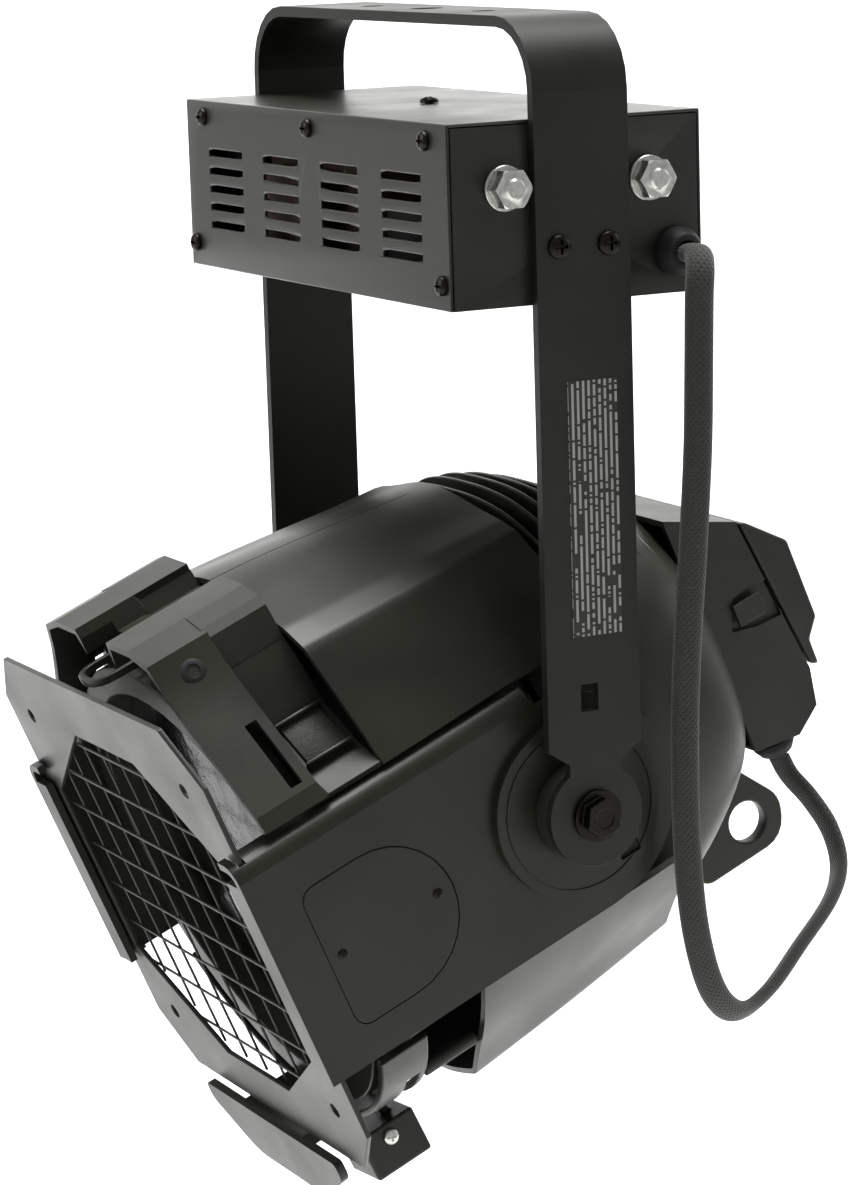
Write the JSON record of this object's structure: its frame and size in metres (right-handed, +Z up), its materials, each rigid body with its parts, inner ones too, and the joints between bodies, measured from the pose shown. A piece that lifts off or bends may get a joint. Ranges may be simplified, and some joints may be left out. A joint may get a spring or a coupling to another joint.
{
  "type": "par can light",
  "caption": "Hanging stage par light: a ribbed cast head tilting in a flat steel yoke, with a ballast box under the yoke's top, a slide-in wire guard and a turning lens.",
  "frame": {"origin": "centre of the yoke's top face, where the lamp hangs", "axes": "+Z up; +X along the tilt pivot towards the lead side; the lens faces -Y, stored tilted 23 degrees below the horizontal"},
  "size_m": [0.2596, 0.3036, 0.4453],
  "materials": {
    "black_bolt": "black oxide",
    "black_box_sheet": "fine satin powder coat",
    "black_cast_housing": "satin textured coat",
    "black_coated_steel": "satin powder coat",
    "black_guard_sheet": "satin paint",
    "black_moulding": "moulded",
    "black_rubber": "matt",
    "black_zinc_screw": "black zinc",
    "braided_sleeve": "braided glass-fibre sleeve",
    "guard_wire": "black wire",
    "inner_metal": "matt black",
    "laminated_core": "varnished laminations",
    "lamp_glass": "clear",
    "lens_glass": "clear stippled",
    "polished_reflector": "bright spun",
    "white_ceramic": "matt",
    "zinc_fastener": "bright zinc plate"
  },
  "bodies": {
    "yoke": {"arm_screw_left_front": "black_zinc_screw", "arm_screw_left_rear": "black_zinc_screw", "arm_screw_right_front": "black_zinc_screw", "arm_screw_right_rear": "black_zinc_screw", "ballast_choke": "laminated_core", "ballast_cover": "black_box_sheet", "ballast_tray": "black_box_sheet", "cover_screw_front_foot_1": "black_zinc_screw", "cover_screw_front_foot_2": "black_zinc_screw", "cover_screw_front_top_1": "black_zinc_screw", "cover_screw_front_top_2": "black_zinc_screw", "cover_screw_front_top_3": "black_zinc_screw", "cover_screw_lid": "black_zinc_screw", "cover_screw_rear_foot_1": "black_zinc_screw", "cover_screw_rear_foot_2": "black_zinc_screw", "cover_screw_rear_top_1": "black_zinc_screw", "cover_screw_rear_top_2": "black_zinc_screw", "cover_screw_rear_top_3": "black_zinc_screw", "igniter": "black_moulding", "lead_gland": "black_rubber", "power_lead": "braided_sleeve", "stud_left_front": "zinc_fastener", "stud_left_rear": "zinc_fastener", "stud_right_front": "zinc_fastener", "stud_right_rear": "zinc_fastener", "terminal_block": "black_moulding", "yoke_strap": "black_coated_steel"},
    "lens_turn": {"focus_lever": "black_cast_housing", "front_lens": "lens_glass", "lens_ring": "black_cast_housing"},
    "guard": {"guard_frame": "black_guard_sheet", "guard_mesh": "guard_wire"},
    "latch": {"frame_latch": "guard_wire"},
    "door": {"lamp_door": "black_cast_housing"},
    "catch": {"door_catch": "black_moulding"},
    "head": {"access_cover_left": "black_cast_housing", "access_cover_right": "black_cast_housing", "bottom_lip": "black_cast_housing", "bottom_shell": "black_cast_housing", "discharge_lamp": "lamp_glass", "friction_spacer_left": "black_moulding", "friction_spacer_right": "black_moulding", "front_band": "black_cast_housing", "front_collar": "black_cast_housing", "head_gland": "black_rubber", "lamp_holder": "white_ceramic", "lens_barrel": "inner_metal", "pivot_bolt_left": "black_bolt", "pivot_bolt_right": "black_bolt", "rear_cap": "black_cast_housing", "rear_casting": "black_cast_housing", "reflector": "polished_reflector", "safety_eye": "black_cast_housing", "side_panel_left": "black_cast_housing", "side_panel_right": "black_cast_housing", "tie_rod_left": "inner_metal", "tie_rod_right": "inner_metal", "top_shell": "black_cast_housing"}
  },
  "joints": [
    {"name": "head_tilt", "type": "hinge", "parent": "yoke", "child": "head", "pos_m": [0, 0, -0.2865], "axis": [1, 0, 0], "range_deg": [-70, 100], "deforming": ["power_lead"]},
    {"name": "lens_rotate", "type": "hinge", "parent": "head", "child": "lens_turn", "pos_m": [0, -0.00117, -0.28374], "axis": [0, -0.9205, -0.3907], "range_deg": [-30, 25]},
    {"name": "guard_slide", "type": "slide", "parent": "head", "child": "guard", "axis": [0, -0.3907, 0.9205], "range_m": [0, 0.195]},
    {"name": "latch_lift", "type": "hinge", "parent": "head", "child": "latch", "pos_m": [0, -0.13026, -0.23044], "axis": [1, 0, 0], "range_deg": [-88, 0]},
    {"name": "door_swing", "type": "hinge", "parent": "head", "child": "door", "pos_m": [0, 0.10144, -0.1989], "axis": [1, 0, 0], "range_deg": [0, 70]},
    {"name": "catch_slide", "type": "slide", "parent": "head", "child": "catch", "axis": [0, -0.9205, -0.3907], "range_m": [0, 0.004], "stiffness_N_per_m": 150}
  ]
}
